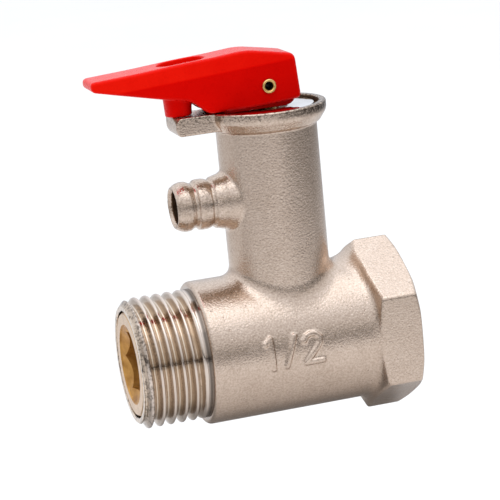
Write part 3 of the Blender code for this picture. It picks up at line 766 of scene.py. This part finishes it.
def cast_nickel():
    s = Shade("cast_nickel_plate", 1.0, 0.22, (0.58, 0.465, 0.38))
    broad = s.noise(0.22, 3.0, 0.55)
    fine = s.noise(3.4, 2.0, 0.6)
    plain = s.mix(0.45, s.ramp(broad, (0.3, (0.55, 0.433, 0.343)), (0.7, (0.615, 0.492, 0.397))),
                  s.ramp(fine, (0.34, (0.42, 0.318, 0.243)), (0.66, (0.75, 0.618, 0.520))))
    # pitted, darker rim of the flange, worst on its heater side
    rim = s.past(s.along(2), FLANGE_KNEE - 0.1, 1.6)
    side = s.math("ADD", s.math("DIVIDE", s.from_tower(), 9.0), 0.25, clamp=True)
    pits = s.ramp(s.noise(2.6, 3.0, 0.65), (0.43, 0.0), (0.53, 1.0))
    darkening = s.times(rim, side, pits)
    # scattered pits on the rim, and on the beads of the hose barb
    beads = s.times(s.short_of(s.along(0), TOWER_X / MM + BARB_ROOT_U, 1.5),
                    s.short_of(s.along(2), BARB_Z + 6.0, 0.5), s.past(s.along(2), BARB_Z - 10.0, 0.5))
    specks = s.ramp(s.noise(1.9, 4.0, 0.7), (0.51, 0.0), (0.62, 0.8))
    where = s.math("MAXIMUM", s.math("MULTIPLY", beads, 0.3), rim)
    darkening = s.math("MAXIMUM", darkening, s.times(where, specks))
    s.color(s.mix(darkening, plain, (0.07, 0.05, 0.035)))
    s.rough(s.ramp(s.noise(0.9, 3.0), (0.3, 0.13), (0.7, 0.22)))
    s.bump(s.noise(0.3, 2.0), 0.05, 0.4)
    s.bump(s.noise(3.3, 2.5, 0.6), 0.06, 1.0)
    s.bump(s.ramp(s.cells(0.8), (0.04, 0.0), (0.12, 1.0)), 0.06, 0.9)
    return s.done()


def machined_nickel():
    s = Shade("machined_nickel_plate", 1.0, 0.14, (0.62, 0.53, 0.455))
    depth = s.math("SUBTRACT", s.radius("X"), THREAD_MINOR)
    # Painted shade and highlight: the colour follows the depth in the thread, darker on the flanks and
    # lighter at the roots and along the crests, varied at random.
    painted_depth_shade = s.math("ADD", depth, s.math("MULTIPLY", s.math("SUBTRACT", s.noise(0.8, 3.0), 0.5), 0.6))
    plain = s.ramp(painted_depth_shade, (0.08, (0.66, 0.55, 0.44)), (0.4, (0.55, 0.445, 0.35)), (0.75, (0.48, 0.39, 0.31)),
                   (0.97, (0.70, 0.60, 0.52)))
    # pits on the lead-in chamfer, and painted shadow in the undercut against the collar
    u = s.from_tower()
    lead = s.short_of(u, SUPPLY_END + 1.9, 1.5)
    darkening = s.times(lead, s.ramp(s.noise(2.0, 4.0, 0.7), (0.49, 0.0), (0.58, 0.7)))
    off_line = s.math("ABSOLUTE", s.math("SUBTRACT", u, COLLAR_U - 0.3))
    undercut = s.math("SUBTRACT", 1.3, s.math("DIVIDE", off_line, 0.4), clamp=True)
    darkening = s.math("MAXIMUM", darkening, s.math("MULTIPLY", undercut, 0.85))
    s.color(s.mix(darkening, plain, (0.08, 0.06, 0.045)))
    s.rough(s.ramp(s.noise(2.0, 2.0), (0.3, 0.07), (0.7, 0.18)))
    s.bump(s.rings(s.along(0), 9.0), 0.012, 0.6)
    s.bump(s.noise(2.2, 3.0, 0.6), 0.02, 0.6)
    return s.done()


def red_plastic():
    s = Shade("red_plastic", 0.0, 0.3, (0.62, 0.001, 0.0005), Specular_IOR_Level=0.4,
              Specular_Tint=(1.0, 0.03, 0.02, 1.0))
    u = s.from_tower()
    # Painted light: the facet above the ridge is painted lighter than the one below it; the red also gets
    # lighter towards the tip and varies at random.
    ridge = s.math("ADD", s.math("MULTIPLY", u, RIDGE_SLOPE), RIDGE_Z - 5.0 * RIDGE_SLOPE)
    above = s.math("MULTIPLY", s.math("SUBTRACT", s.along(2), ridge), 3.0, clamp=True)
    share = s.math("ADD", s.math("MULTIPLY", above, 0.5), s.math("MULTIPLY", u, -0.012))
    share = s.math("ADD", share, s.math("MULTIPLY", s.noise(0.35, 2.0), 0.35))
    side = s.ramp(share, (0.0, (0.60, 0.0010, 0.0004)), (0.5, (0.72, 0.0022, 0.0006)),
                  (1.0, (0.84, 0.0085, 0.0028)))
    # painted shade: darker on the sole under the fork
    sole = s.times(s.short_of(s.math("ABSOLUTE", s.along(1)), SOLE_HALF + 0.15, 8.0),
                   s.short_of(s.along(2), 39.7, 4.0), s.past(u, -9.6, 4.0))
    s.color(s.mix(sole, side, (0.26, 0.0012, 0.0006)))
    s.rough(s.ramp(s.noise(1.2, 3.0), (0.3, 0.24), (0.7, 0.34)))
    s.bump(s.noise(0.25, 1.0), 0.03, 0.5)
    s.bump(s.noise(3.0, 2.0), 0.006, 0.6)
    return s.done()


def turned_metal(name, dark, light, low, high, axis, centre=(0, 0, 0), lines=9.0, depth=0.008, metallic=1.0):
    s = Shade(name, metallic, (low + high) / 2, light)
    marks = s.rings(s.radius(axis, centre), lines)
    s.color(s.ramp(s.noise(0.7, 3.0), (0.3, dark), (0.7, light)))
    s.rough(s.ramp(s.mix(0.5, s.noise(1.6, 3.0), marks), (0.3, low), (0.7, high)))
    s.bump(marks, depth, 0.7)
    s.bump(s.noise(1.1, 2.0), 1.5 * depth, 0.5)
    return s.done()


def moulded(name, dark, light, low, high, grain=0.02, **sockets):
    """Rubber, fibre and plain plastic: mottled, with a fine uneven skin."""
    s = Shade(name, 0.0, (low + high) / 2, light, **sockets)
    s.color(s.ramp(s.mix(0.5, s.noise(0.5, 3.0), s.noise(3.0, 2.0)), (0.35, dark), (0.65, light)))
    s.rough(s.ramp(s.noise(1.5, 3.0), (0.3, low), (0.7, high)))
    s.bump(s.noise(2.5, 3.0, 0.6), grain, 0.7)
    return s.done()


def drawn_wire(name, axis):
    """Spring wire with lengthwise drawing marks and a straw tint in places."""
    s = Shade(name, 1.0, 0.25, (0.55, 0.54, 0.53))
    s.color(s.ramp(s.noise(0.5, 3.0), (0.3, (0.40, 0.37, 0.34)), (0.7, (0.62, 0.61, 0.60))))
    marks = s.rings(s.radius(axis), 14.0)
    s.rough(s.ramp(s.mix(0.5, marks, s.noise(2.0, 2.0)), (0.3, 0.18), (0.7, 0.36)))
    s.bump(marks, 0.01, 0.6)
    return s.done()


nickel = cast_nickel()
bright = machined_nickel()
red = red_plastic()
brass = turned_metal("turned_brass", (0.48, 0.32, 0.18), (0.62, 0.43, 0.255), 0.16, 0.30, "X")
# The bush's own brass, painted darker and more orange for the shade inside the hexagon socket.
shaded_socket_brass = turned_metal("shaded_socket_brass", (0.34, 0.145, 0.022), (0.60, 0.315, 0.075), 0.26, 0.4, "X",
                            metallic=0.6)
bare_brass = turned_metal("bare_brass", (0.10, 0.07, 0.04), (0.50, 0.42, 0.28), 0.3, 0.45, "Z", lines=4.0)
pin_bore = turned_metal("pin_bore_shade", (0.05, 0.03, 0.015), (0.10, 0.06, 0.03), 0.4, 0.5, "Y",
                        (0, 0, PIVOT_Z))
# Unplated brass, painted dark for the shade inside the barb's bore and the gap under the cover plate.
bore_shade_brass = turned_metal("unplated_bore_shaded", (0.10, 0.055, 0.03), (0.20, 0.12, 0.07), 0.35, 0.5, "X")
stem_brass = turned_metal("stem_brass", (0.30, 0.17, 0.07), (0.46, 0.29, 0.13), 0.2, 0.34, "Z")
pin_brass = turned_metal("rivet_brass", (0.62, 0.40, 0.13), (0.80, 0.55, 0.22), 0.2, 0.3, "Y",
                         (0, 0, PIVOT_Z))
steel = turned_metal("polished_steel", (0.72, 0.74, 0.77), (0.80, 0.81, 0.83), 0.05, 0.10, "Z", lines=5.0,
                     depth=0.002)
spring_z = drawn_wire("relief_spring_wire", "Z")
spring_x = drawn_wire("check_spring_wire", "X")
for obj, mat in ((body, nickel), (supply_thread, bright), (socket_thread, bright), (lever, red),
                 (bush, brass), (pin, pin_brass), (disc, steel), (stem, stem_brass),
                 (relief_spring, spring_z), (check_spring, spring_x)):
    obj.data.materials.append(mat)

gland_brass = turned_metal("gland_brass", (0.52, 0.33, 0.14), (0.68, 0.47, 0.24), 0.2, 0.34, "Z")
washer_steel = turned_metal("washer_steel", (0.50, 0.49, 0.48), (0.62, 0.61, 0.60), 0.2, 0.32, "Z")
check_steel = turned_metal("check_steel", (0.50, 0.49, 0.48), (0.62, 0.61, 0.60), 0.2, 0.32, "X")
black_rubber = moulded("black_rubber", (0.012, 0.012, 0.013), (0.028, 0.027, 0.027), 0.5, 0.68)
white_plastic = moulded("white_plastic", (0.66, 0.65, 0.61), (0.78, 0.77, 0.74), 0.34, 0.48, 0.008)
red_fibre = moulded("red_fibre", (0.20, 0.035, 0.025), (0.30, 0.06, 0.04), 0.7, 0.85, 0.04)
CARRIED = {
    "bush_gasket": red_fibre, "check_washer": check_steel, "check_seal": black_rubber,
    "check_poppet": white_plastic, "check_guide": white_plastic, "seal_screw": gland_brass,
    "relief_seal": black_rubber, "seal_holder": gland_brass,
    "spring_washer": washer_steel, "stem_o_ring": black_rubber, "spring_gland": gland_brass}
for node, mat in CARRIED.items():
    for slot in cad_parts[node].material_slots:
        slot.material = mat


def paint_faces(obj, mat, inside):
    """Gives mat to the faces whose centre, in the u, y, z frame, is inside."""
    obj.data.materials.append(mat)
    index = len(obj.data.materials) - 1
    for face in obj.data.polygons:
        x, y, z = (c / MM for c in face.center)
        if inside(x - TOWER_X / MM, y, z, face.normal):
            face.material_index = index


def in_barb_bore(u, y, z, normal):
    return u < -5 and math.hypot(y, z - BARB_Z) < BARB_BORE_R + 0.07 and abs(normal.x) < 0.8


def in_pipe(u, y, z, normal):
    return z < 20 and math.hypot(y, z) < THREAD_MAJOR + 0.3 and normal.x < 0.9


def in_disc_gap(u, y, z, normal):
    return 37.3 < z < 38.36 and math.hypot(u, y) < TOWER_RECESS_R + 0.03


def on_nick(u, y, z, normal):
    return u < -13.0 and z > 36.5 and abs(nick_field(u, y, z)) < 0.05


def in_rivet(u, y, z, normal):
    return math.hypot(u, z - PIVOT_Z) < 0.56


def in_socket(u, y, z, normal):
    return math.hypot(y, z) < 6.4 and normal.x > -0.95


paint_faces(body, bore_shade_brass, in_barb_bore)
paint_faces(body, bright, in_pipe)
paint_faces(body, bore_shade_brass, in_disc_gap)
paint_faces(body, bare_brass, on_nick)
paint_faces(pin, pin_bore, in_rivet)
paint_faces(bush, shaded_socket_brass, in_socket)


def attach(obj, body_name, slot, *nodes):
    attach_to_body(obj, body_name)
    if nodes:
        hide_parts(*nodes)


attach(body, "valve", "nickel_plate", "valve_body")
attach(supply_thread, "valve", "nickel_plate")
attach(socket_thread, "valve", "nickel_plate")
attach(lever, "lever", "red_plastic", "lever")
attach(bush, "valve", "brass", "inlet_bush")
attach(pin, "lever", "pin_brass", "pivot_pin")
attach(disc, "valve", "polished_steel", "cover_disc")
attach(stem, "stem", "stem_brass", "lift_stem")
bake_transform(relief_spring)
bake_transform(check_spring)
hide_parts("relief_spring")
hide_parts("check_spring")


# ---------------------------------------------------------------- camera, floor and light
def set_camera():
    azimuth, elevation, roll = map(math.radians, (15.255, 13.493, 5.61))
    target = Vector((TOWER_X - 4.603 * MM, 0, 15.355 * MM))
    away = Vector((-math.sin(azimuth) * math.cos(elevation), -math.cos(azimuth) * math.cos(elevation),
                   math.sin(elevation)))
    location = target + away * 0.322524
    right = Vector((0, 0, 1)).cross(away).normalized()
    up = away.cross(right)
    turn = Matrix.Rotation(-roll, 3, away)
    basis = Matrix((right, up, away)).transposed()
    data = bpy.data.cameras.new("camera")
    data.lens = 145.4
    data.sensor_width = 36
    data.clip_start = 0.01
    camera = bpy.data.objects.new("camera", data)
    camera.matrix_world = Matrix.Translation(location) @ (turn @ basis).to_4x4()
    bpy.context.scene.collection.objects.link(camera)
    bpy.context.scene.camera = camera


def area_light(name, location, target, size, power, color=(1, 1, 1)):
    data = bpy.data.lights.new(name, "AREA")
    data.shape = "RECTANGLE"
    data.size, data.size_y = size
    data.energy = power
    data.color = color
    lamp = bpy.data.objects.new(name, data)
    lamp.location = location
    lamp.rotation_euler = (Vector(target) - Vector(location)).to_track_quat("-Z", "Y").to_euler()
    lamp.visible_camera = False
    bpy.context.scene.collection.objects.link(lamp)


def sky_ramp(nodes, links, height, stops):
    ramp = nodes.new("ShaderNodeValToRGB")
    while len(ramp.color_ramp.elements) < len(stops):
        ramp.color_ramp.elements.new(0.5)
    for element, (sine, color) in zip(ramp.color_ramp.elements, stops):
        element.position = (sine + 1) / 2
        element.color = (*color, 1)
    links.new(height, ramp.inputs["Fac"])
    return ramp.outputs["Color"]


def set_world():
    """A white room, dark along the horizon on the near side; the camera itself sees plain white."""
    world = bpy.data.worlds.new("studio")
    world.use_nodes = True
    tree = world.node_tree
    nodes, links = tree.nodes, tree.links
    plain_back = nodes["Background"]
    plain_back.inputs["Color"].default_value = (1, 1, 1, 1)
    plain_back.inputs["Strength"].default_value = 0.95
    coords = nodes.new("ShaderNodeTexCoord")
    split = nodes.new("ShaderNodeSeparateXYZ")
    links.new(coords.outputs["Generated"], split.inputs[0])
    height = nodes.new("ShaderNodeMapRange")
    height.inputs["From Min"].default_value = -1.0
    links.new(split.outputs[2], height.inputs["Value"])
    behind = nodes.new("ShaderNodeMapRange")
    behind.inputs["From Min"].default_value, behind.inputs["From Max"].default_value = BEHIND_FROM
    links.new(split.outputs[1], behind.inputs["Value"])
    blend = nodes.new("ShaderNodeMix")
    blend.data_type = "RGBA"
    links.new(behind.outputs[0], blend.inputs[0])
    links.new(sky_ramp(nodes, links, height.outputs[0], NEAR_SKY), blend.inputs[6])
    links.new(sky_ramp(nodes, links, height.outputs[0], FAR_SKY), blend.inputs[7])
    room = nodes.new("ShaderNodeBackground")
    links.new(blend.outputs[2], room.inputs["Color"])
    path = nodes.new("ShaderNodeLightPath")
    choose = nodes.new("ShaderNodeMixShader")
    links.new(path.outputs["Is Camera Ray"], choose.inputs[0])
    links.new(room.outputs[0], choose.inputs[1])
    links.new(plain_back.outputs[0], choose.inputs[2])
    links.new(choose.outputs[0], nodes["World Output"].inputs["Surface"])
    bpy.context.scene.world = world


NEAR_SKY = [(-1.0, (0.5, 0.48, 0.46)), (-0.055, (0.5, 0.48, 0.46)), (-0.03, (0.02, 0.015, 0.015)),
            (0.07, (0.02, 0.015, 0.015)), (0.095, (0.50, 0.49, 0.49)), (0.26, (0.74, 0.745, 0.76)),
            (0.5, (0.97, 0.99, 1.04)), (0.75, (1.13, 1.18, 1.27)), (1.0, (1.34, 1.42, 1.56))]
FAR_SKY = [(-1.0, (0.5, 0.5, 0.5)), (-0.3, (0.6, 0.6, 0.62)), (0.0, (0.72, 0.73, 0.77)),
           (0.3, (1.0, 1.03, 1.09)), (0.6, (1.15, 1.2, 1.28)), (1.0, (1.34, 1.42, 1.56))]
BEHIND_FROM = (0.0, 0.35)
FLOOR_Z = -0.050
TABLE_Z = -0.0150
TABLE_GLOW = 0.13
# brightness left by the table's painted shadow under the valve
SHADOW_UNDER_VALVE = 0.62


def flat_sheet(name, z):
    bm = bmesh.new()
    bmesh.ops.create_grid(bm, x_segments=1, y_segments=1, size=4.0)
    sheet = object_from(name, bm, 30)
    sheet.location = (0, 0, z)
    return sheet


def falloff(shade, value, start, reach, drop):
    """1 up to start, then falling by drop over reach."""
    share = shade.math("DIVIDE", shade.math("SUBTRACT", value, start), reach, clamp=True)
    return shade.math("SUBTRACT", 1.0, shade.math("MULTIPLY", share, drop))


def table_glow_and_shadow():
    """Lit by the room and a little by its own glow; painted shadow makes it darker under the valve, and
    painted shade darker away from it and to its right.
    """
    s = Shade("table_glow_and_shadow", 0.0, 0.8, (0.36, 0.35, 0.34), Specular_IOR_Level=0.0,
              Emission_Strength=TABLE_GLOW)
    # painted shade and shadow: darker away from the valve, to its right and left, and under it
    away = falloff(s, s.radius("Z"), 60.0, 100.0, 0.2)
    right = falloff(s, s.along(0), 0.0, 260.0, 0.65)
    left = falloff(s, s.math("MULTIPLY", s.along(0), -1.0), 60.0, 100.0, 0.1)
    beside = s.math("DIVIDE", s.math("SUBTRACT", s.math("ABSOLUTE", s.along(1)), 3.0), 5.0, clamp=True)
    under = s.math("ADD", s.math("MULTIPLY", beside, 1.0 - SHADOW_UNDER_VALVE), SHADOW_UNDER_VALVE)
    shade = s.times(away, right, left, under)
    white = s.ramp(s.noise(0.01, 3.0), (0.3, (0.98, 0.96, 0.94)), (0.7, (1.0, 0.98, 0.96)))
    lit = s.mix(1.0, white, shade, "MULTIPLY")
    s.link(lit, s.shader.inputs["Emission Color"])
    s.color(s.mix(1.0, lit, (0.74, 0.74, 0.74), "MULTIPLY"))
    return s.done()


def set_stage():
    """The floor is what the camera sees; the table close under the valve only shows in reflections."""
    floor = flat_sheet("floor", FLOOR_Z)
    paint = Shade("floor_paint", 0.0, 0.8, (0.88, 0.88, 0.88), Specular_IOR_Level=0.1)
    paint.color(paint.ramp(paint.noise(0.01, 3.0), (0.3, (0.87, 0.85, 0.81)), (0.7, (0.89, 0.87, 0.83))))
    floor.data.materials.append(paint.done())
    floor.visible_glossy = False
    table = flat_sheet("table", TABLE_Z)
    table.data.materials.append(table_glow_and_shadow())
    table.visible_camera = table.visible_diffuse = table.visible_shadow = table.visible_transmission = False
    set_world()
    bpy.context.scene.view_settings.view_transform = "Standard"
    area_light("overhead", (-0.05, -0.10, 0.75), (TOWER_X, 0, 0.01), (0.8, 0.8), 1.3, (0.97, 0.98, 1.0))


set_camera()
set_stage()
